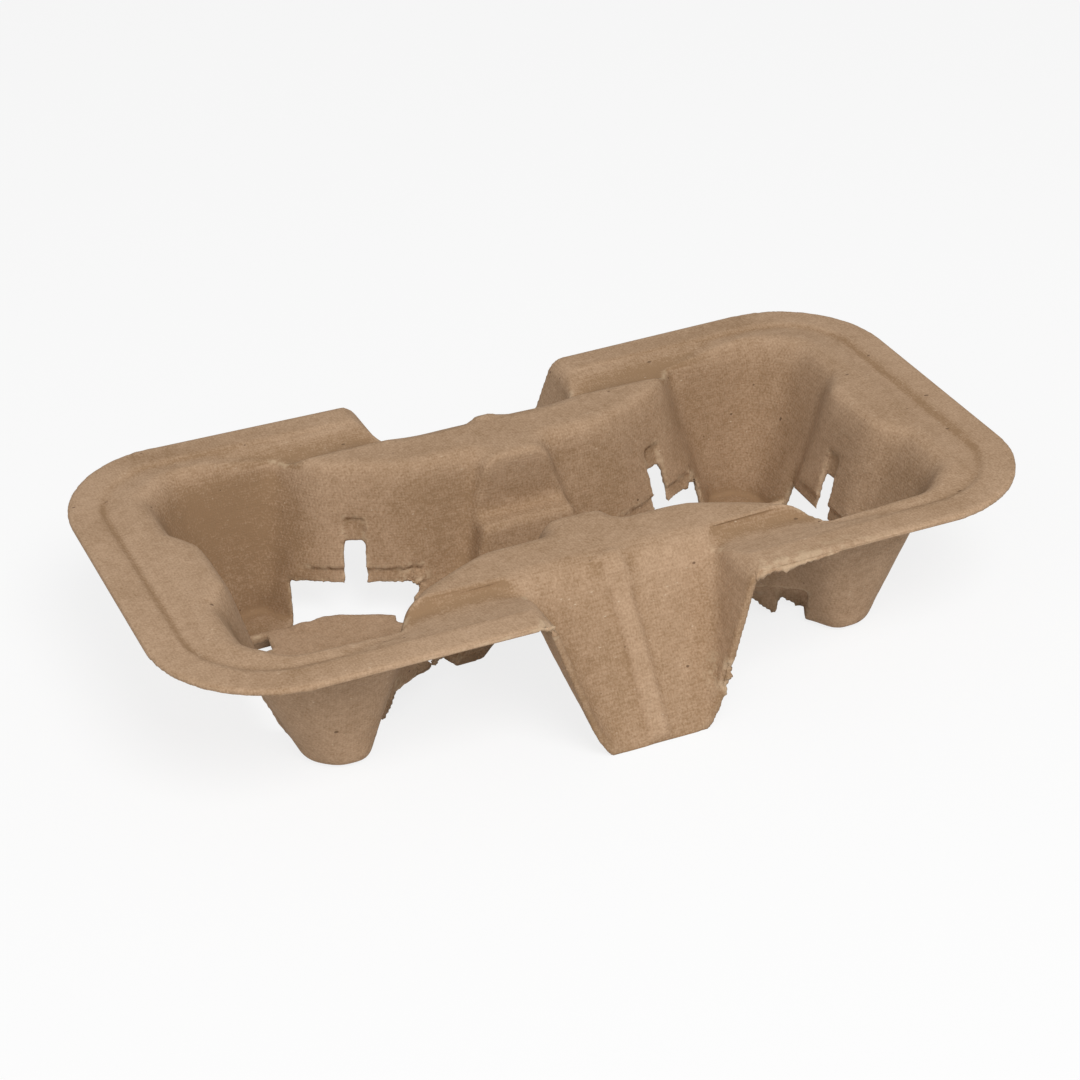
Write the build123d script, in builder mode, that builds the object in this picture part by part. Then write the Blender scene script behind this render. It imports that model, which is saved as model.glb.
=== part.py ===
from build123d import *
import os
from math import atan2, cos, degrees, hypot, radians, sin

# Two-cup carrier, moulded from paper pulp as one sheet of even thickness.
# Origin at the bottom centre, +X along the tray, +Z up, sizes in millimetres.

# Rim: a flat border with a shallow crease along its inner side
tray_length = 215.0
tray_width = 114.6
tray_height = 40.0
corner_radius = 29.0
sheet = 1.7
rim_flat = 7.5
crease_drop = 0.7
crease_step = 1.2
crease_run = 6.0

# Cup wells: three petals that grip the cup, with pockets between them that end as legs
cup_pitch = 103.6
petal_angle = 116.0
petal_mouth = 30.4
petal_foot = 20.2
cheek_angle = 33.0
end_cheek_mouth = 20.2
end_cheek_foot = 9.5
side_cheek_mouth = 21.4
side_cheek_foot = 7.6
pocket_end_mouth = 36.2
pocket_end_foot = 22.2
pocket_corner_mouth = 49.6
pocket_corner_foot = 36.2
pocket_side_mouth = 42.8
pocket_side_foot = 33.8
bay_mouth = 21.2
bay_foot = 11.6
divider_mouth = 8.0
divider_foot = 18.0
mouth_round = 5.0
mouth_bevel = 1.5
foot_round = 3.2

# Floor of a well, a little above the feet of the legs
floor_rise = 4.0
floor_half = 19.0
floor_slope = 3.0
floor_length = 62.0
floor_shift = 6.0

# Valleys between the rim and the plateaus beside the divider
plateau_edge = 36.0
valley_bed = 40.5
valley_flat = 1.6
valley_drop = 3.0
valley_span = 46.0
valley_end = 74.0

# Chutes that run out under the rim and end as the two middle legs
chute_top = 51.5
chute_foot = 25.0
chute_back = 37.2
chute_corner = 5.0
chute_round = 5.0
chute_depth = 60.0
chute_below = 14.0
rib_base = 6.4
rib_crest = 3.4
rib_height = 1.1
rib_stop = 2.0

# Saddle in the divider: end panels, a ledge, then the low middle
panel_top = 16.3
panel_foot = 15.0
ledge_level = 25.0
saddle_top = 9.2
saddle_foot = 7.5
saddle_level = 14.0
saddle_reach = 20.0
ledge_round = 2.0

# Openings punched through the foot of each petal, shaped like an upturned T, and the thin
# recessed skin that is left round their upper side
slot_width = 5.0
slot_top = 21.0
bar_half = 17.5
bar_top = 11.0
tab_half = 11.0
tab_reach = 18.2
notch_reach = 15.2
punch_end = 33.0
skin_depth = 0.9
skin_over_bar = 4.2
skin_over_slot = 17.0

cup_axis = cup_pitch / 2
over = 2.0
near = 0.01

# Walls of half a well, from the end petal round to the divider: the way each one faces in
# degrees, then its distance from the cup's axis at the mouth and at the foot.
well_walls = [
    (0.0, petal_mouth, petal_foot),
    (-cheek_angle, end_cheek_mouth, end_cheek_foot),
    (0.0, pocket_end_mouth, pocket_end_foot),
    (45.0, pocket_corner_mouth, pocket_corner_foot),
    (90.0, pocket_side_mouth, pocket_side_foot),
    (petal_angle + cheek_angle, side_cheek_mouth, side_cheek_foot),
    (petal_angle, petal_mouth, petal_foot),
    (90.0, bay_mouth, bay_foot),
    (180.0, cup_axis - divider_mouth, cup_axis - divider_foot),
]

# Rounding from each wall to the next, below zero where it bulges towards the cup
well_rounds = [-6.3, 4.3, 6.5, 6.5, 3.5, -16.0, -20.0, 3.0]


# Block with flat slanted sides between two outlines that have the same number of corners
def drafted(outlines, levels):
    below, above = [[Vector(x, y, level) for x, y in line] for line, level in zip(outlines, levels)]
    faces = [Face(Wire.make_polygon(below)), Face(Wire.make_polygon(above))]
    for i in range(len(below)):
        faces.append(Face(Wire.make_polygon([below[i - 1], below[i], above[i], above[i - 1]])))
    return Solid(Shell(faces))


def rectangle(x1, x2, y1, y2):
    return [(x1, y1), (x2, y1), (x2, y2), (x1, y2)]


def well_outline(level, grow):
    share = (level - sheet) / (tray_height - sheet)
    walls = well_walls + [(-angle, mouth, foot) for angle, mouth, foot in reversed(well_walls[1:-1])]
    lines = []
    for angle, mouth, foot in walls:
        lines.append((cos(radians(angle)), sin(radians(angle)), foot + share * (mouth - foot) + grow))
    corners = []
    for (c1, s1, d1), (c2, s2, d2) in zip(lines, lines[1:] + lines[:1]):
        turn = c1 * s2 - s1 * c2
        corners.append((cup_axis + (d1 * s2 - s1 * d2) / turn, (c1 * d2 - d1 * c2) / turn))
    return corners


# Hollow of the right-hand well, its upright edges rounded
def well_hollow(foot, grow):
    levels = (foot, tray_height + over)
    outlines = [well_outline(level, grow) for level in levels]
    rounds = well_rounds + list(reversed(well_rounds))
    middles = [(Vector(*a, levels[0]) + Vector(*b, levels[1])) / 2 for a, b in zip(*outlines)]
    with BuildPart() as hollow:
        add(drafted(outlines, levels))
        for size in sorted(set(rounds)):
            spots = [spot for spot, bend in zip(middles, rounds) if bend == size]
            edges = [hollow.edges().sort_by_distance(spot)[0] for spot in spots]
            fillet(edges, abs(size + grow))
    return hollow.part


# What is sunk into the rim: the crease round its border and the valleys
def border_relief(gap):
    bed = tray_height - crease_drop
    edge = 2 * (rim_flat + crease_step)
    slopes = ((-crease_step, Mode.ADD), (crease_run, Mode.SUBTRACT))
    with BuildPart() as relief:
        for run, mode in slopes if gap == 0 else ():
            with BuildSketch(Plane.XY.offset(bed)):
                RectangleRounded(tray_length - edge, tray_width - edge, corner_radius - edge / 2)
            extrude(amount=2 * crease_drop, taper=degrees(atan2(run, crease_drop)), mode=mode)
        lip = tray_width / 2 - rim_flat
        rise = (valley_drop + over) / valley_drop
        low = rectangle(-valley_span, valley_span, valley_bed - valley_flat / 2, valley_bed + valley_flat / 2)
        full = rectangle(-valley_end, valley_end, plateau_edge, lip)
        high = [(x1 + rise * (x2 - x1), y1 + rise * (y2 - y1)) for (x1, y1), (x2, y2) in zip(low, full)]
        floor = tray_height - valley_drop - gap
        for side in (1, -1):
            sides = [[(x, side * y) for x, y in line] for line in (low, high)]
            add(drafted(sides, (floor, floor + valley_drop + over)))
    return relief.part


# Rib that runs down the middle of a chute, from the plateau to the foot
def chute_rib(gap):
    run = tray_width / 2 - chute_back
    length = hypot(run, tray_height)
    slope = Vector(0, -run, tray_height) / length
    face = Plane(origin=(0, tray_width / 2 - gap * length / tray_height, 0), x_dir=(1, 0, 0), z_dir=slope)
    with BuildPart() as rib:
        with BuildSketch(face.offset(-chute_below)):
            with BuildLine():
                Polyline(
                    (-rib_base / 2, 0),
                    (-rib_crest / 2, rib_height),
                    (rib_crest / 2, rib_height),
                    (rib_base / 2, 0),
                    (rib_base / 2, -sheet),
                    (-rib_base / 2, -sheet),
                    close=True,
                )
            make_face()
        extrude(amount=length + 2 * chute_below)
        split(bisect_by=Plane.XY.offset(tray_height - rib_stop - gap), keep=Keep.BOTTOM)
        split(bisect_by=Plane.XY.offset(-gap), keep=Keep.TOP)
        split(bisect_by=Plane.XZ.offset(-tray_width / 2 - gap), keep=Keep.TOP)
        mirror(about=Plane.XZ)
    return rib.part


# Hollow over the chute on the far side, its two upright edges rounded
def chute_hollow(gap):
    levels = (-chute_below, tray_height + over)
    grow = gap * hypot(tray_width / 2 - chute_back, tray_height) / tray_height
    outlines = []
    for level in levels:
        share = level / tray_height
        half = (chute_foot + share * (chute_top - chute_foot)) / 2 + grow
        back = tray_width / 2 + share * (chute_back - tray_width / 2) - grow
        outlines.append(rectangle(-half, half, back, back + chute_depth))
    with BuildPart() as hollow:
        add(drafted(outlines, levels))
        upright = hollow.edges().filter_by(lambda e: abs((e @ 0).Z - (e @ 1).Z) > tray_height)
        fillet(upright.sort_by(Axis.Y)[:2], chute_corner + gap)
        mirror(about=Plane.XZ)
    return hollow.part


# Solid that lies under one face of the sheet: the upper face, or the lower one a sheet below it
def mould_face(gap):
    top = tray_height - gap
    foot = sheet - gap
    hollow = well_hollow(foot, gap)
    chutes = chute_hollow(gap)
    relief = border_relief(gap)
    rib = chute_rib(gap)
    with BuildPart() as face:
        with BuildSketch(Plane.XY.offset(-gap)):
            RectangleRounded(tray_length + 2 * gap, tray_width + 2 * gap, corner_radius + gap)
        extrude(amount=top + gap)

        add(chutes, mode=Mode.SUBTRACT)
        rims = face.edges().group_by(Axis.Z)[-1]
        lips = rims.filter_by(lambda e: abs(e.center().X) < chute_top / 2 + over)
        fillet(lips.filter_by(lambda e: abs(e.center().Y) < tray_width / 2 - over / 2), chute_round - gap)

        before = face.edges()
        add(hollow, mode=Mode.SUBTRACT)
        add(mirror(hollow, about=Plane.YZ, mode=Mode.PRIVATE), mode=Mode.SUBTRACT)
        cut = face.edges() - before
        mouths = cut.filter_by_position(Axis.Z, top - near, top + near)
        if gap == 0:
            fillet(mouths, mouth_round)
        else:
            chamfer(mouths, mouth_bevel)
            feet = face.edges().filter_by_position(Axis.Z, foot - near, foot + near)
            fillet(feet.filter_by(lambda e: abs(e.center().Y) < pocket_side_mouth), foot_round)

        add(relief, mode=Mode.SUBTRACT)

        with BuildSketch(Plane.YZ) as saddle:
            with BuildLine():
                Polyline(
                    (panel_top + gap, tray_height + over),
                    (panel_foot + gap, ledge_level - gap),
                    (saddle_top + gap, ledge_level - gap),
                    (saddle_foot + gap, saddle_level - gap),
                    (-saddle_foot - gap, saddle_level - gap),
                    (-saddle_top - gap, ledge_level - gap),
                    (-panel_foot - gap, ledge_level - gap),
                    (-panel_top - gap, tray_height + over),
                    close=True,
                )
            make_face()
            levels = saddle.vertices().group_by(Axis.Y)
            fillet(levels[0] + levels[1], ledge_round)
        extrude(amount=saddle_reach, both=True, mode=Mode.SUBTRACT)

        for side in (1, -1):
            middle = side * (cup_axis - floor_shift)
            pads = []
            for grow in (floor_slope - gap, -gap):
                half = floor_half + grow
                pads.append(rectangle(middle - floor_length / 2, middle + floor_length / 2, -half, half))
            add(drafted(pads, (foot, foot + floor_rise)))

        add(rib)
    return face.part


upper = mould_face(0)
lower = mould_face(sheet)

with BuildPart() as carrier:
    add(upper)
    add(lower, mode=Mode.SUBTRACT)
    lean = (petal_mouth - petal_foot) / (tray_height - sheet)
    for side in (1, -1):
        for angle in (0.0, petal_angle, -petal_angle):
            turn = radians(angle)
            out = Vector(side * cos(turn), sin(turn), 0)
            across = Vector(-sin(turn), side * cos(turn), 0)
            axis = Vector(side * cup_axis, 0, 0)

            reach = petal_foot + lean * (bar_top - sheet)
            wall = Plane(origin=axis + out * reach + Vector(0, 0, bar_top), x_dir=across, z_dir=out - Vector(0, 0, lean))
            with BuildSketch(wall):
                with Locations((0, skin_over_bar / 2)):
                    Rectangle(2 * bar_half, skin_over_bar)
                with Locations((0, skin_over_slot / 2)):
                    Rectangle(slot_width, skin_over_slot)
            extrude(amount=skin_depth, mode=Mode.SUBTRACT)

            punch = Plane(origin=axis, x_dir=across, z_dir=out)
            with BuildSketch(punch.offset(tab_reach)):
                with Locations((0, bar_top / 2 - over)):
                    Rectangle(2 * bar_half, bar_top + 2 * over)
                with Locations((0, slot_top / 2)):
                    Rectangle(slot_width, slot_top)
            extrude(amount=punch_end - tab_reach, mode=Mode.SUBTRACT)
            with BuildSketch(punch.offset(notch_reach)):
                for end in (1, -1):
                    with Locations((end * (tab_half + bar_half) / 2, bar_top / 2 - over)):
                        Rectangle(bar_half - tab_half, bar_top + 2 * over)
            extrude(amount=punch_end - notch_reach, mode=Mode.SUBTRACT)

carrier.part.label = "carrier_tray"
os.makedirs("parts", exist_ok=True)
export_step(carrier.part, "parts/carrier_tray.step")
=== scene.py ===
import math

import bpy
import numpy as np
from mathutils import Matrix, Vector, noise
from mathutils.kdtree import KDTree


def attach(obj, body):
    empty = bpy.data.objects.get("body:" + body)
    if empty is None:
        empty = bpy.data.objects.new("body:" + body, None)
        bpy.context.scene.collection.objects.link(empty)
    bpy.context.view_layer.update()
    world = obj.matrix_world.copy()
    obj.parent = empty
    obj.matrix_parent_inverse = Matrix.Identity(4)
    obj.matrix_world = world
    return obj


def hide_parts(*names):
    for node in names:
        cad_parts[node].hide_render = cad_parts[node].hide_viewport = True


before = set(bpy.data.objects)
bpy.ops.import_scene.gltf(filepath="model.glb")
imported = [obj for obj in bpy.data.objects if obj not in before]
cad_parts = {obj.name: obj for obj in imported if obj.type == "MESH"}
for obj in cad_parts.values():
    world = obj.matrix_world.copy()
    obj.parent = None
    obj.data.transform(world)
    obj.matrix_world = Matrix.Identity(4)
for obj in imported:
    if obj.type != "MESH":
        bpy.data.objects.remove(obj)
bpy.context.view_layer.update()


# shader maths on sockets

class Wire:
    def __init__(self, tree, socket=None):
        self.tree = tree
        self.socket = socket

    def node(self, kind, settings=None, inputs=None, out=0):
        made = self.tree.nodes.new(kind)
        for name, value in (settings or {}).items():
            setattr(made, name, value)
        for key, value in (inputs or {}).items():
            if isinstance(value, Wire):
                self.tree.links.new(value.socket, made.inputs[key])
            else:
                made.inputs[key].default_value = value
        return Wire(self.tree, made.outputs[out] if made.outputs else None)

    def beside(self, *names):   # outputs of the same node
        return [Wire(self.tree, self.socket.node.outputs[name]) for name in names]

    def maths(self, operation, first, second=0.0, clamp=False):
        settings = {"operation": operation, "use_clamp": clamp}
        return self.node("ShaderNodeMath", settings, {0: first, 1: second})

    def __add__(self, other):
        return self.maths("ADD", self, other)

    def __radd__(self, other):
        return self.maths("ADD", other, self)

    def __sub__(self, other):
        return self.maths("SUBTRACT", self, other)

    def __rsub__(self, other):
        return self.maths("SUBTRACT", other, self)

    def __mul__(self, other):
        return self.maths("MULTIPLY", self, other)

    def __rmul__(self, other):
        return self.maths("MULTIPLY", other, self)

    def __gt__(self, other):
        return self.maths("GREATER_THAN", self, other)

    def sine(self):
        return self.maths("SINE", self)

    def clip(self):
        return self.maths("ADD", self, 0.0, True)

    def atLeast(self, lowest):
        return self.maths("MAXIMUM", self, lowest)

    def step(self, low, high):   # 0 below low, 1 above high, soft between
        return self.node("ShaderNodeMapRange", {"interpolation_type": "SMOOTHSTEP"},
                         {"Value": self, "From Min": low, "From Max": high})

    def mixed(self, first, second):   # the first colour at 0, the second at 1
        return self.node("ShaderNodeMix", {"data_type": "RGBA"}, {0: self, 6: first, 7: second}, out=2)


# the tray itself: the moulded sheet, softened and given its unevenness
# in metres; a pair is the span over which a change sets in or fades, along is |x|, across |y|, level z

tray = {
    "node": "carrier_tray",
    "top": 0.04,                       # level of the rim
    "cupAxis": 0.0518,
    "weld": 0.00001,
    "voxel": 0.00055,                  # first mesh size, the thinnest skin is 0.7 mm
    "soften": 0.5,
    "softenRounds": 6,
    "easeRounds": 260,                 # walls, chute lips and the saddle flow into each other
    "triangles": 190000,               # kept of the first mesh, most of them at edges and bends
    "sharpAngle": 62,                  # degrees, the sheet's cut edges are sharper than this
    "edgeSpacing": 0.0005,
    "edgeReach": 0.0018,               # how far a cut edge's fuzz reaches in
    "folds": {                         # boxes round sharp folds that aren't cut edges, 1 is an open end
        "saddle": ((-1, 0.026), (-1, 0.021), (0.009, 1)),
        "rib": ((-1, 0.006), (0.03, 0.05), (-1, 1)),
        "pocketFloor": ((0.044, 1), (0.019, 1), (-1, 0.0032)),
        "dividerFoot": ((-1, 0.034), (-1, 0.0125), (-1, 0.009)),
    },
    "ease": {                          # where the first mesh is smoothed further
        "wellStart": (0.020, 0.026),
        "wellEnd": (0.088, 0.094),
        "wellSide": (0.044, 0.048),
        "wallFoot": (0.003, 0.008),
        "wallTop": (0.0372, 0.0392),
        "lipInner": (0.033, 0.036),
        "lipOuter": (0.040, 0.043),
        "lipLevel": (0.032, 0.036),
        "saddle": 0.15,
        "edgeGap": (0.002, 0.007),     # cut edges stay sharp
    },
    "crook": {                         # how a used tray stands
        "legAcross": (0.036, 0.046),
        "lean": 0.0024,                # the near middle leg stands over to the right
        "leanSide": (0.030, 0.042),
        "leanLeft": (-0.014, -0.002),  # its left lip moves along all its height
        "flare": 0.0018,               # the far chute is a little wider
        "flareStart": (0.012, 0.024),
        "flareEnd": (0.030, 0.045),
        "tuck": 0.0018,                # feet of the corner legs lie nearer the middle
        "tuckAlong": (0.044, 0.052),
        "tuckAcross": (0.014, 0.022),
        "bayTuck": 0.005,              # feet of the divider's walls lie further out
        "bayLevel": (0.004, 0.016),
        "bayStart": (0.010, 0.016),
        "bayEnd": (0.022, 0.040),
        "bayAcross": (0.014, 0.024),
        "curl": 0.0009,                # ends of the rim lift
        "curlAlong": (0.060, 0.105),
        "curlHeight": (0.5, 1.0),      # share of the tray's height
        "grooveShift": 0.0020,         # the near grooves lie further in
        "grooveInner": (0.0325, 0.0375),
        "grooveOuter": (0.0415, 0.0500),
        "grooveLevel": (0.030, 0.034),
        "grooveStart": (0.022, 0.030),
        "grooveEnd": (0.044, 0.056),
        "ribRise": 0.0012,             # the ribs run up onto the plateaus
        "ribOut": 0.5,                 # shares of the rise outwards and upwards
        "ribUp": 0.85,
        "ribInner": (0.0335, 0.0362),
        "ribOuter": (0.0385, 0.0415),
        "ribLevel": (0.028, 0.032),
        "ribSide": (0.0016, 0.0040),
    },
    "dark": {                          # where painted shade darkens the pulp: creases, hollows, grooves, deep draws and leg edges
        "crease": 0.00006,             # bend at which a fold's painted shade is darkest
        "creaseRounds": 2,
        "hollow": 0.0011,              # depth at which a hollow's painted shade is darkest
        "hollowRounds": 70,
        "grooveFacing": 0.5,           # painted shade in the grooves beside the plateaus
        "grooveAcross": (0.0355, 0.0495),
        "grooveReach": 0.074,
        "grooveDepth": (0.0002, 0.0024),
        "grooveStart": (0.022, 0.030),
        "grooveEnd": (0.056, 0.072),
        "grooveNear": (0.0395, 0.0430),
        "legEdge": 0.8,                # painted shade on the cut edges of the middle legs
        "legAlong": (0.030, 0.036),
        "legAcross": (0.050, 0.054),
        "legTop": (0.0375, 0.039),
        "inner": 0.5,                  # painted shade in the deepest draws of the mould
        "innerDepth": (0.0008, 0.007),
        "innerFacing": -0.2,
        "middleReach": 0.046,          # bays and saddle
        "middleAlong": (0.022, 0.040),
        "middleAcross": (0.019, 0.023),
        "pockets": (1.8, 0.7),         # painted shade of the left and right ones, against the middle
        "pocketFacing": (0.0, 0.4),
        "pocketAcross": (0.012, 0.022),
        "pocketAlong": (0.046, 0.056),
    },
    "warp": 0.0007,                    # slow bow of the whole sheet
    "warpSize": 0.06,
    "warpWays": (("X", 1.0), ("Y", 1.15), ("Z", 0.9)),
    "dent": 0.0003,                    # shallow unevenness of the moulded face
    "dentSize": 0.008,
    "fray": 0.0044,                    # ragged edges where the sheet is torn
    "fraySize": 0.0014,
    "frayLevel": 0.62,
    "rimFray": 0.05,                   # share of it on the clean outer edge, and round the openings
    "openingFray": 0.2,
    "rimAlong": 0.096,                 # the outer edge lies past these
    "rimAcross": 0.05,
    "tornFace": 0.2,                   # share of a torn spot's fray away from the edge
    "tornCore": 0.4,                   # share of its reach that is torn most
    "torn": [                          # place and reach of the worst torn spots
        ((0.037, -0.0568, 0.0385), 0.012),
        ((-0.0262, -0.0573, 0.0388), 0.004),
        ((0.0195, -0.0535, 0.012), 0.008),
        ((-0.0515, -0.033, 0.012), 0.009),
        ((-0.036, -0.019, 0.008), 0.010),
        ((-0.0285, 0.0120, 0.0115), 0.008),
        ((0.0570, 0.0260, 0.0115), 0.007),
        ((0.0745, -0.0120, 0.0105), 0.008),
    ],
}


def only(obj):
    bpy.ops.object.select_all(action="DESELECT")
    obj.select_set(True)
    bpy.context.view_layer.objects.active = obj


def applied(obj, kind, **settings):
    only(obj)
    made = obj.modifiers.new(kind.lower(), kind)
    for name, value in settings.items():
        setattr(made, name, value)
    bpy.ops.object.modifier_apply(modifier=made.name)


def shifted(obj, name, size, depth=2, **settings):   # pushed about by a cloud texture
    cloud = bpy.data.textures.new(name, "CLOUDS")
    cloud.noise_scale = size
    cloud.noise_depth = depth
    applied(obj, "DISPLACE", texture=cloud, texture_coords="LOCAL", **settings)


def soft(span, value):   # 0 at the start of a span, 1 at its end, eased between
    low, high = span
    share = min(max((value - low) / (high - low), 0.0), 1.0)
    return share * share * (3 - 2 * share)


def fade(span, value):
    return 1 - soft(span, value)


def inFold(name, spot):
    sides = (abs(spot.x), abs(spot.y), spot.z)
    return all(low < side < high for (low, high), side in zip(tray["folds"][name], sides))


def cutEdgePoints(mesh):
    normals = {}
    for face in mesh.polygons:
        for key in face.edge_keys:
            normals.setdefault(key, []).append(face.normal)
    limit = math.cos(math.radians(tray["sharpAngle"]))
    points = []
    for (a, b), pair in normals.items():
        start, end = mesh.vertices[a].co, mesh.vertices[b].co
        folded = any(inFold(name, start) for name in tray["folds"])
        if len(pair) == 2 and pair[0].dot(pair[1]) < limit and not folded:
            count = max(1, int((end - start).length / tray["edgeSpacing"]))
            points += [start.lerp(end, i / count) for i in range(count + 1)]
    return points


def easeShare(spot, edgeGap):   # how freely a point of the first mesh is smoothed
    ease = tray["ease"]
    along, across, level = abs(spot.x), abs(spot.y), spot.z
    well = soft(ease["wellStart"], along) * fade(ease["wellEnd"], along) * fade(ease["wellSide"], across)
    wall = well * soft(ease["wallFoot"], level) * fade(ease["wallTop"], level)
    lip = fade(ease["wellStart"], along) * soft(ease["lipInner"], across) * fade(ease["lipOuter"], across)
    lip *= soft(ease["lipLevel"], level)
    saddle = ease["saddle"] if inFold("saddle", spot) else 0.0
    return max(wall, lip, saddle) * soft(ease["edgeGap"], edgeGap)


def settle(mesh):   # legs and rim of a used tray stand a little crooked
    crook = tray["crook"]
    for vertex in mesh.vertices:
        x, y, z = vertex.co
        along, across = abs(x), abs(y)
        high = min(max(z / tray["top"], 0.0), 1.0)
        leg = soft(crook["legAcross"], across)
        if y < 0:
            left = fade(crook["leanLeft"], x)
            side = fade(crook["leanSide"], along)
            vertex.co.x += crook["lean"] * leg * side * (1 - high + high * left)
        else:
            flank = soft(crook["flareStart"], along) * fade(crook["flareEnd"], along)
            vertex.co.x += math.copysign(crook["flare"], x) * leg * flank * high
        corner = soft(crook["tuckAlong"], along) * soft(crook["tuckAcross"], across) * (1 - high)
        vertex.co.x -= math.copysign(crook["tuck"], x) * corner
        bay = fade(crook["bayLevel"], z) * soft(crook["bayStart"], along) * fade(crook["bayEnd"], along)
        vertex.co.x += math.copysign(crook["bayTuck"], x) * bay * fade(crook["bayAcross"], across)
        vertex.co.z += crook["curl"] * soft(crook["curlAlong"], along) * soft(crook["curlHeight"], high)
        if y < 0:
            groove = soft(crook["grooveInner"], across) * fade(crook["grooveOuter"], across)
            groove *= soft(crook["grooveLevel"], z)
            groove *= soft(crook["grooveStart"], along) * fade(crook["grooveEnd"], along)
            vertex.co.y += crook["grooveShift"] * groove
        rib = soft(crook["ribInner"], across) * fade(crook["ribOuter"], across) * soft(crook["ribLevel"], z)
        rib *= fade(crook["ribSide"], along)
        vertex.co.y += math.copysign(crook["ribRise"] * crook["ribOut"], y) * rib
        vertex.co.z += crook["ribRise"] * crook["ribUp"] * rib


def foldShares(mesh):   # shares of painted shade, 1 in a tight crease or a deep hollow, and of painted highlight, -1 on a ridge
    dark = tray["dark"]
    spots = np.empty(len(mesh.vertices) * 3)
    mesh.vertices.foreach_get("co", spots)
    spots = spots.reshape(-1, 3)
    facing = np.empty(len(mesh.vertices) * 3)
    mesh.vertices.foreach_get("normal", facing)
    facing = facing.reshape(-1, 3)
    ends = np.empty(len(mesh.edges) * 2, dtype=np.int32)
    mesh.edges.foreach_get("vertices", ends)
    start = np.concatenate((ends[0::2], ends[1::2]))
    end = np.concatenate((ends[1::2], ends[0::2]))
    count = np.bincount(start, minlength=len(spots))

    def around(values):
        return np.bincount(start, weights=values[end], minlength=len(spots)) / count

    bend = sum((around(spots[:, i]) - spots[:, i]) * facing[:, i] for i in range(3))
    for _ in range(dark["creaseRounds"]):
        bend = (bend + around(bend)) / 2
    depth = 0
    for i in range(3):
        eased = spots[:, i]
        for _ in range(dark["hollowRounds"]):
            eased = (eased + around(eased)) / 2
        depth = depth + (eased - spots[:, i]) * facing[:, i]
    return np.clip(bend / dark["crease"], -1, 1), np.clip(depth / dark["hollow"], -1, 1)


def grooveShare(vertex):   # painted shade in the grooves beside the plateaus, the near ones only on their inner side
    dark = tray["dark"]
    x, y, z = vertex.co
    along = abs(x)
    low, high = dark["grooveAcross"]
    if vertex.normal.z < dark["grooveFacing"] or not low < abs(y) < high or along > dark["grooveReach"]:
        return 0.0
    share = soft(dark["grooveDepth"], tray["top"] - z)
    share *= soft(dark["grooveStart"], along)
    share *= fade(dark["grooveEnd"], along)
    return share * fade(dark["grooveNear"], -y)


def innerShare(vertex):   # painted shade in deep draws of the mould: the pockets, the bays and the saddle
    dark = tray["dark"]
    spot, facing = vertex.co, vertex.normal
    along, across = abs(spot.x), abs(spot.y)
    deep = soft(dark["innerDepth"], tray["top"] - spot.z)
    if along < dark["middleReach"]:
        middle = fade(dark["middleAlong"], along) * fade(dark["middleAcross"], across)
        return deep * middle if facing.z > dark["innerFacing"] else 0.0
    axis = Vector((math.copysign(tray["cupAxis"], spot.x), 0, spot.z))
    inward = (axis - spot).normalized().dot(facing)
    pocket = soft(dark["pocketFacing"], inward)
    pocket *= soft(dark["pocketAcross"], across)
    pocket *= soft(dark["pocketAlong"], along)
    return deep * pocket * dark["pockets"][0 if spot.x < 0 else 1]


def legEdgeShare(spot, share):   # painted shade on the cut edges of the middle legs
    dark = tray["dark"]
    near = fade(dark["legAlong"], abs(spot.x)) * soft(dark["legAcross"], abs(spot.y))
    return dark["legEdge"] * share * near * fade(dark["legTop"], spot.z)


# painted shade: the strongest of the grooves', the deep draws' and the leg edges' shares
def paintedShadeShare(vertex, share):
    inner = tray["dark"]["inner"] * innerShare(vertex)
    return max(grooveShare(vertex), inner, legEdgeShare(vertex.co, share))


def tornShare(spot):
    core = tray["tornCore"]
    return max(fade((reach * core, reach), (Vector(place) - spot).length) for place, reach in tray["torn"])


def frayShare(spot, share):
    outer = max(abs(spot.x) - tray["rimAlong"], abs(spot.y) - tray["rimAcross"]) > 0
    plain = tray["rimFray"] if outer else tray["openingFray"]
    face = tray["tornFace"]
    return max(share * plain, tornShare(spot) * (face + (1 - face) * share))


def addGroup(piece, name, shares):
    group = piece.vertex_groups.new(name=name)
    for i, share in enumerate(shares):
        if share > 0:
            group.add([i], share, "REPLACE")


def addAttribute(mesh, name, values):
    mesh.attributes.new(name, "FLOAT", "POINT")
    mesh.attributes[name].data.foreach_set("value", values)


def triangleCount(mesh):
    return sum(len(face.vertices) - 2 for face in mesh.polygons)


tornLip = {   # loose fibre that hangs from the near rim, right of the middle leg
    "start": 0.0262,
    "end": 0.0475,
    "edge": -0.0571,
    "level": 0.0390,
    "drop": 0.0026,
    "leastDrop": 0.2,          # share of the drop
    "taper": 0.6,
    "bulge": 0.0003,
    "sway": 0.0008,
    "swaySize": 0.4,           # against the raggedness
    "swayRow": (5.1, 2.2),     # row of the noise that is read
    "columns": 90,
    "ragged": 700,
    "raggedRow": (0.3, 0.7),
    "raggedLayers": (0.6, 2.0, 4),   # falloff, step in size and number of noise layers
    "thickness": 0.0004,
    "wear": 0.8,
}


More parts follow.
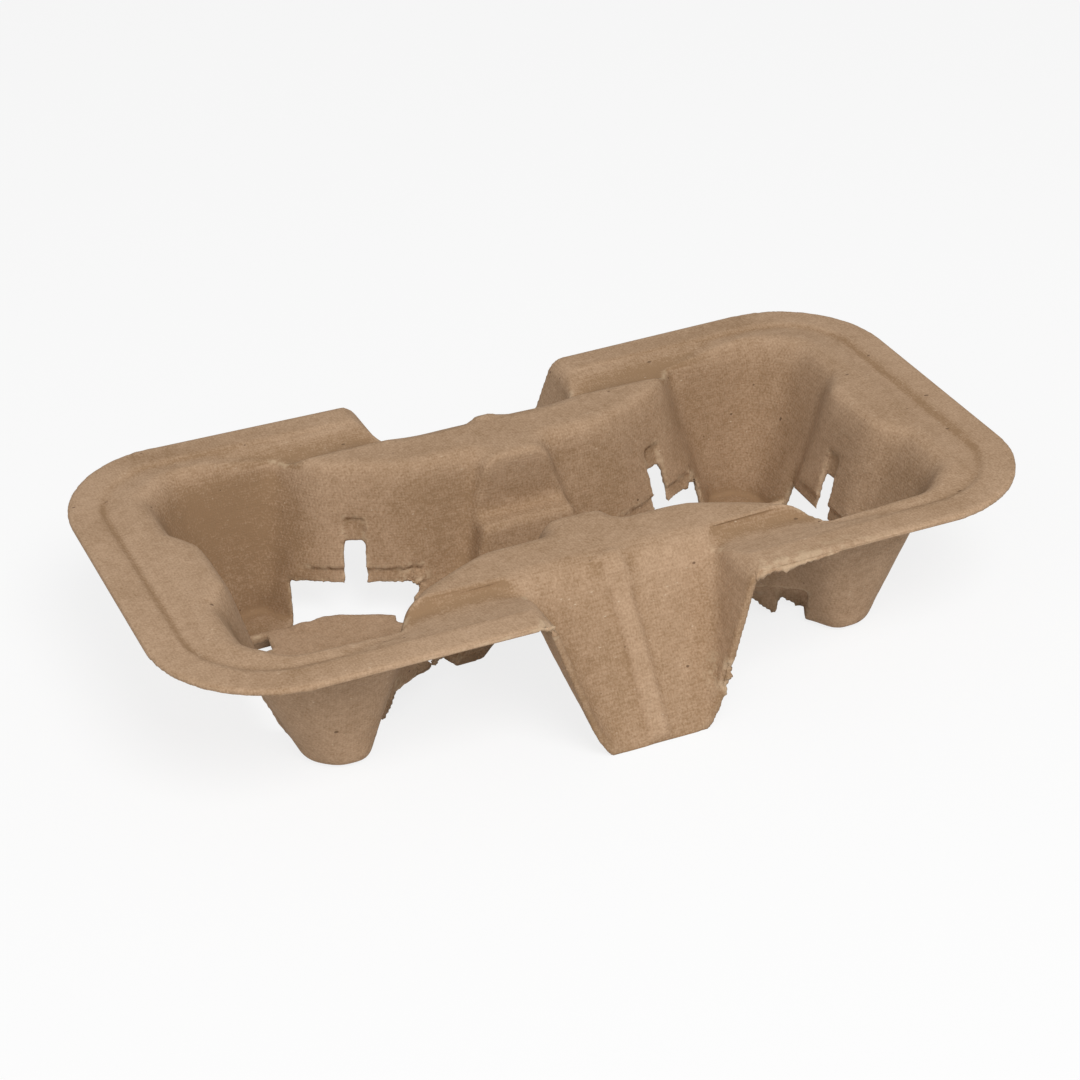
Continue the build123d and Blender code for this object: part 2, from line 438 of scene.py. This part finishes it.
def makeTornLip():
    edge, level = tornLip["edge"], tornLip["level"]
    least = tornLip["leastDrop"]
    points, faces = [], []
    for i in range(tornLip["columns"] + 1):
        share = i / tornLip["columns"]
        x = tornLip["start"] + share * (tornLip["end"] - tornLip["start"])
        along = x * tornLip["ragged"]
        torn = 0.5 + 0.5 * noise.fractal((along, *tornLip["raggedRow"]), *tornLip["raggedLayers"])
        drop = tornLip["drop"] * (least + (1 - least) * torn) * (1 - share) ** tornLip["taper"]
        sway = tornLip["sway"] * noise.noise((along * tornLip["swaySize"], *tornLip["swayRow"]))
        points.append((x, edge, level))
        points.append((x, edge - tornLip["bulge"], level - drop * 0.5))
        points.append((x, edge + sway, level - drop))
        if i > 0:
            faces += [(3 * i - 3 + k, 3 * i - 2 + k, 3 * i + 1 + k, 3 * i + k) for k in range(2)]
    mesh = bpy.data.meshes.new("tornLip")
    mesh.from_pydata(points, [], faces)
    lip = bpy.data.objects.new("tornLip", mesh)
    bpy.context.scene.collection.objects.link(lip)
    applied(lip, "SOLIDIFY", thickness=tornLip["thickness"], offset=0)
    addAttribute(lip.data, "edgeWear", [tornLip["wear"]] * len(lip.data.vertices))
    return lip


def makeTray():
    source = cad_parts[tray["node"]]
    piece = bpy.data.objects.new("pulpTray", source.data.copy())
    bpy.context.scene.collection.objects.link(piece)
    mesh = piece.data
    mesh.materials.clear()
    only(piece)
    bpy.ops.object.mode_set(mode="EDIT")
    bpy.ops.mesh.select_all(action="SELECT")
    bpy.ops.mesh.remove_doubles(threshold=tray["weld"])
    bpy.ops.object.mode_set(mode="OBJECT")
    edgePoints = cutEdgePoints(mesh)
    print("cut edge points", len(edgePoints))
    near = KDTree(len(edgePoints))
    for i, point in enumerate(edgePoints):
        near.insert(point, i)
    near.balance()

    # an even first mesh, smoothed where the sheet flows and thinned where it is plain
    applied(piece, "REMESH", mode="VOXEL", voxel_size=tray["voxel"])
    applied(piece, "SMOOTH", factor=tray["soften"], iterations=tray["softenRounds"])
    addGroup(piece, "eased", [easeShare(v.co, near.find(v.co)[2]) for v in piece.data.vertices])
    applied(piece, "SMOOTH", factor=tray["soften"], iterations=tray["easeRounds"], vertex_group="eased")
    full = triangleCount(piece.data)
    applied(piece, "DECIMATE", ratio=tray["triangles"] / full)
    print("first mesh", full)

    # shares for the frayed edges and the places of painted shade, taken before anything is shifted
    mesh = piece.data
    shares = [max(0.0, 1 - near.find(v.co)[2] / tray["edgeReach"]) for v in mesh.vertices]
    frays = [frayShare(v.co, share) for share, v in zip(shares, mesh.vertices)]
    addGroup(piece, "cutEdge", frays)
    # painted shade in the grooves, the deep draws and at the leg edges
    paintedShade = [paintedShadeShare(v, share) for share, v in zip(shares, mesh.vertices)]
    settle(mesh)
    # fold and hollow hold painted shade in creases and hollows and painted highlight on ridges and crowns
    fold, hollow = foldShares(mesh)
    addAttribute(mesh, "edgeWear", np.clip(np.array(frays) / tray["openingFray"], 0, 1))
    addAttribute(mesh, "fold", fold)
    addAttribute(mesh, "hollow", np.maximum(hollow, paintedShade))

    for way, stretch in tray["warpWays"]:
        shifted(piece, "bow" + way, tray["warpSize"] * stretch, 1,
                direction=way, strength=tray["warp"], mid_level=0.5)
    shifted(piece, "dents", tray["dentSize"], direction="NORMAL", strength=tray["dent"], mid_level=0.5)
    shifted(piece, "fray", tray["fraySize"], direction="NORMAL", strength=tray["fray"],
            mid_level=tray["frayLevel"], vertex_group="cutEdge")
    lip = makeTornLip()
    only(piece)
    lip.select_set(True)
    bpy.ops.object.join()
    bpy.ops.object.shade_smooth()
    print("tray triangles", triangleCount(piece.data))
    return piece


pulp = {
    "light": (0.455, 0.308, 0.198, 1),
    "dark": (0.275, 0.170, 0.092, 1),
    "fleckDark": (0.10, 0.055, 0.03, 1),
    "fleckPale": (0.66, 0.54, 0.40, 1),
    "torn": (0.55, 0.41, 0.27, 1),
    "weave": {"pitch": 0.00064, "depth": 0.17},   # wire screen of the mould
    "drift": {"reach": 0.0005, "scale": 90.0, "detail": 1.0},   # how its wires wander
    "slow": (0.035, 2.0, 0.5),        # size, detail and roughness of the cloudy layers
    "mottle": (0.0032, 3.0, 0.6),
    "grain": (0.0006, 2.0, 0.7),
    "tornPatch": (0.0025, 2.0, 0.5),
    "plainTone": 0.58,                # 0 is the dark colour, 1 the light one
    "tone": {"slow": 0.8, "mottle": 0.8, "grain": 1.8, "weave": 0.3},
    "foldLeast": -0.25,               # painted highlight on ridges and crowns goes only as far as this
    "foldShade": 0.22,
    "hollowLeast": -0.3,
    "hollowShade": 0.6,
    "speck": {
        "turn": (0.9, 0.4, 0.3),
        "stretch": (1, 1.8, 1.3),
        "scale": 300.0,
        "size": 0.22,
        "edge": 0.05,
        "chance": 0.82,               # cells above it have a speck
        "strength": 0.75,
    },
    "fibre": {
        "turn": (0.5, 0.3, 0.7),
        "stretch": (1, 3.5, 2),
        "scale": 260.0,
        "edge": (0.03, 0.12),
        "patch": (0.45, 0.6),
        "strength": 0.55,
    },
    "tear": {"wear": (0.25, 0.9), "patch": (0.4, 0.6), "strength": 0.5},
    "height": {"weave": 0.24, "grain": 0.7, "mottle": 0.9, "fibre": 0.2},
    "bumpStrength": 0.55,
    "bumpDistance": 0.00022,
    "rough": 0.86,
    "roughChange": 0.16,
    "specular": 0.22,
}


def emptyTree(owner):
    owner.use_nodes = True
    owner.node_tree.nodes.clear()
    return Wire(owner.node_tree)


def pulpFinish():
    made = bpy.data.materials.new("mouldedPulp")
    start = emptyTree(made)
    place = start.node("ShaderNodeTexCoord", out="Object")
    wear, fold, hollow = (start.node("ShaderNodeAttribute", {"attribute_name": name}, out="Fac")
                          for name in ("edgeWear", "fold", "hollow"))

    def cloudy(layer):
        size, detail, rough = pulp[layer]
        inputs = {"Vector": place, "Scale": 1 / size, "Detail": detail, "Roughness": rough}
        return start.node("ShaderNodeTexNoise", None, inputs, out="Fac")

    def cells(layer):
        inputs = {"Vector": place, "Rotation": layer["turn"], "Scale": layer["stretch"]}
        turned = start.node("ShaderNodeMapping", None, inputs)
        inputs = {"Vector": turned, "Scale": layer["scale"]}
        return start.node("ShaderNodeTexVoronoi", None, inputs, out="Distance")

    # wire screen: a fine grid of knuckles that follows all three directions
    drift = pulp["drift"]
    inputs = {"Vector": place, "Scale": drift["scale"], "Detail": drift["detail"]}
    wander = start.node("ShaderNodeTexNoise", None, inputs, out="Color")
    drifted = start.node("ShaderNodeVectorMath", {"operation": "MULTIPLY_ADD"},
                         {0: wander, 1: (drift["reach"],) * 3, 2: place})
    x, y, z = start.node("ShaderNodeSeparateXYZ", None, {0: drifted}).beside(0, 1, 2)
    turns = 2 * math.pi / pulp["weave"]["pitch"]
    knuckles = (x * turns).sine() + (y * turns).sine() + (z * turns).sine()
    weave = knuckles * pulp["weave"]["depth"] + 0.5

    # tone of the ground, with painted shade in folds and hollows and painted highlight on ridges and crowns
    slow, mottle, grain = cloudy("slow"), cloudy("mottle"), cloudy("grain")
    shade = fold.atLeast(pulp["foldLeast"]) * pulp["foldShade"]
    shade = shade + hollow.atLeast(pulp["hollowLeast"]) * pulp["hollowShade"]
    weight = pulp["tone"]
    tone = (slow - 0.5) * weight["slow"] + (mottle - 0.5) * weight["mottle"]
    tone = tone + (grain - 0.5) * weight["grain"] + (weave - 0.5) * weight["weave"]
    tone = tone - shade + pulp["plainTone"]
    ground = tone.clip().mixed(pulp["dark"], pulp["light"])

    # specks of dark fibre, short pale fibres and torn edges
    speck, fibre, tear = pulp["speck"], pulp["fibre"], pulp["tear"]
    specks = cells(speck)
    pick = specks.beside("Color")[0]
    width, chance = start.node("ShaderNodeSeparateXYZ", None, {0: pick}).beside(0, 1)
    speckMask = (width * width * speck["size"] - specks).step(0.0, speck["edge"])
    speckMask = speckMask * (chance > speck["chance"])
    fibreMask = (1 - cells(fibre).step(*fibre["edge"])) * mottle.step(*fibre["patch"])
    tornMask = wear.step(*tear["wear"]) * cloudy("tornPatch").step(*tear["patch"])
    withSpecks = (speckMask * speck["strength"]).mixed(ground, pulp["fleckDark"])
    withFibres = (fibreMask * fibre["strength"]).mixed(withSpecks, pulp["fleckPale"])
    colour = (tornMask * tear["strength"]).mixed(withFibres, pulp["torn"])

    weight = pulp["height"]
    height = weave * weight["weave"] + grain * weight["grain"] + mottle * weight["mottle"]
    height = height + fibreMask * weight["fibre"]
    bump = start.node("ShaderNodeBump", None, {
        "Strength": pulp["bumpStrength"],
        "Distance": pulp["bumpDistance"],
        "Height": height,
    })
    rough = pulp["rough"] + (mottle - 0.5) * pulp["roughChange"]
    shader = start.node("ShaderNodeBsdfPrincipled", None, {
        "Base Color": colour,
        "Roughness": rough.clip(),
        "Normal": bump,
        "Specular IOR Level": pulp["specular"],
    })
    start.node("ShaderNodeOutputMaterial", None, {"Surface": shader})
    return made


trayPiece = makeTray()
trayPiece.data.materials.append(pulpFinish())
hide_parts(tray["node"])
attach(trayPiece, "root")
print("tray done")


# floor, light and camera

studio = {
    "floorSize": 6.0,
    "floorShade": 0.8,
    "floorGlow": 0.82,          # share of plain white that the camera sees
    "worldLight": 0.33,
    "lamps": [                  # place, size and watts
        ((-0.05, -0.85, 1.10), 0.7, 14.5),
        ((-0.80, -0.60, 0.80), 0.8, 2.5),
    ],
    "aim": (0.0, 0.0, 0.02),
}


def seenByCamera(start):   # camera, mirror and glass rays see plain white
    names = ("Is Camera Ray", "Is Glossy Ray", "Is Transmission Ray")
    camera, glossy, glass = start.node("ShaderNodeLightPath").beside(*names)
    return (camera + glossy + glass).clip()


def makeFloor():
    bpy.ops.object.select_all(action="DESELECT")
    bpy.ops.mesh.primitive_plane_add(size=studio["floorSize"])
    floor = bpy.context.active_object
    floor.name = "studioFloor"
    made = bpy.data.materials.new("paleFloor")
    start = emptyTree(made)
    shade = studio["floorShade"]
    matte = start.node("ShaderNodeBsdfDiffuse", None, {"Color": (shade, shade, shade, 1)})
    glow = start.node("ShaderNodeEmission", None, {"Color": (1, 1, 1, 1), "Strength": 1.0})
    white = seenByCamera(start) * studio["floorGlow"]
    mixed = start.node("ShaderNodeMixShader", None, {0: white, 1: matte, 2: glow})
    start.node("ShaderNodeOutputMaterial", None, {"Surface": mixed})
    floor.data.materials.append(made)


def makeWorld():
    world = bpy.data.worlds.new("softRoom")
    bpy.context.scene.world = world
    start = emptyTree(world)
    level = studio["worldLight"] + seenByCamera(start) * (1 - studio["worldLight"])
    back = start.node("ShaderNodeBackground", None, {"Color": (1, 1, 1, 1), "Strength": level})
    start.node("ShaderNodeOutputWorld", None, {"Surface": back})


def makeLamps():
    for i, (spot, size, watts) in enumerate(studio["lamps"]):
        data = bpy.data.lights.new("softbox%d" % (i + 1), "AREA")
        data.shape = "DISK"
        data.size = size
        data.energy = watts
        lamp = bpy.data.objects.new(data.name, data)
        lamp.location = spot
        lamp.rotation_euler = (Vector(studio["aim"]) - Vector(spot)).to_track_quat("-Z", "Y").to_euler()
        bpy.context.scene.collection.objects.link(lamp)


eye = {   # camera place and directions, as worked out from the rim's corners in the photo
    "spot": (-0.2222, -0.5131, 0.3604),
    "right": (0.91257, -0.40818, -0.02417),
    "up": (0.22955, 0.46249, 0.85637),
    "lens": 90.6,
    "sensor": 36.0,
    "nearest": 0.01,
}


def makeCamera():
    data = bpy.data.cameras.new("photoView")
    data.lens = eye["lens"]
    data.sensor_width = eye["sensor"]
    data.clip_start = eye["nearest"]
    camera = bpy.data.objects.new("photoView", data)
    right = Vector(eye["right"]).normalized()
    back = right.cross(Vector(eye["up"])).normalized()
    up = back.cross(right)
    turn = Matrix((right, up, back)).transposed().to_4x4()
    camera.matrix_world = Matrix.Translation(eye["spot"]) @ turn
    bpy.context.scene.collection.objects.link(camera)
    bpy.context.scene.camera = camera


makeFloor()
makeWorld()
makeLamps()
makeCamera()
bpy.context.scene.view_settings.view_transform = "Standard"
print("studio done")
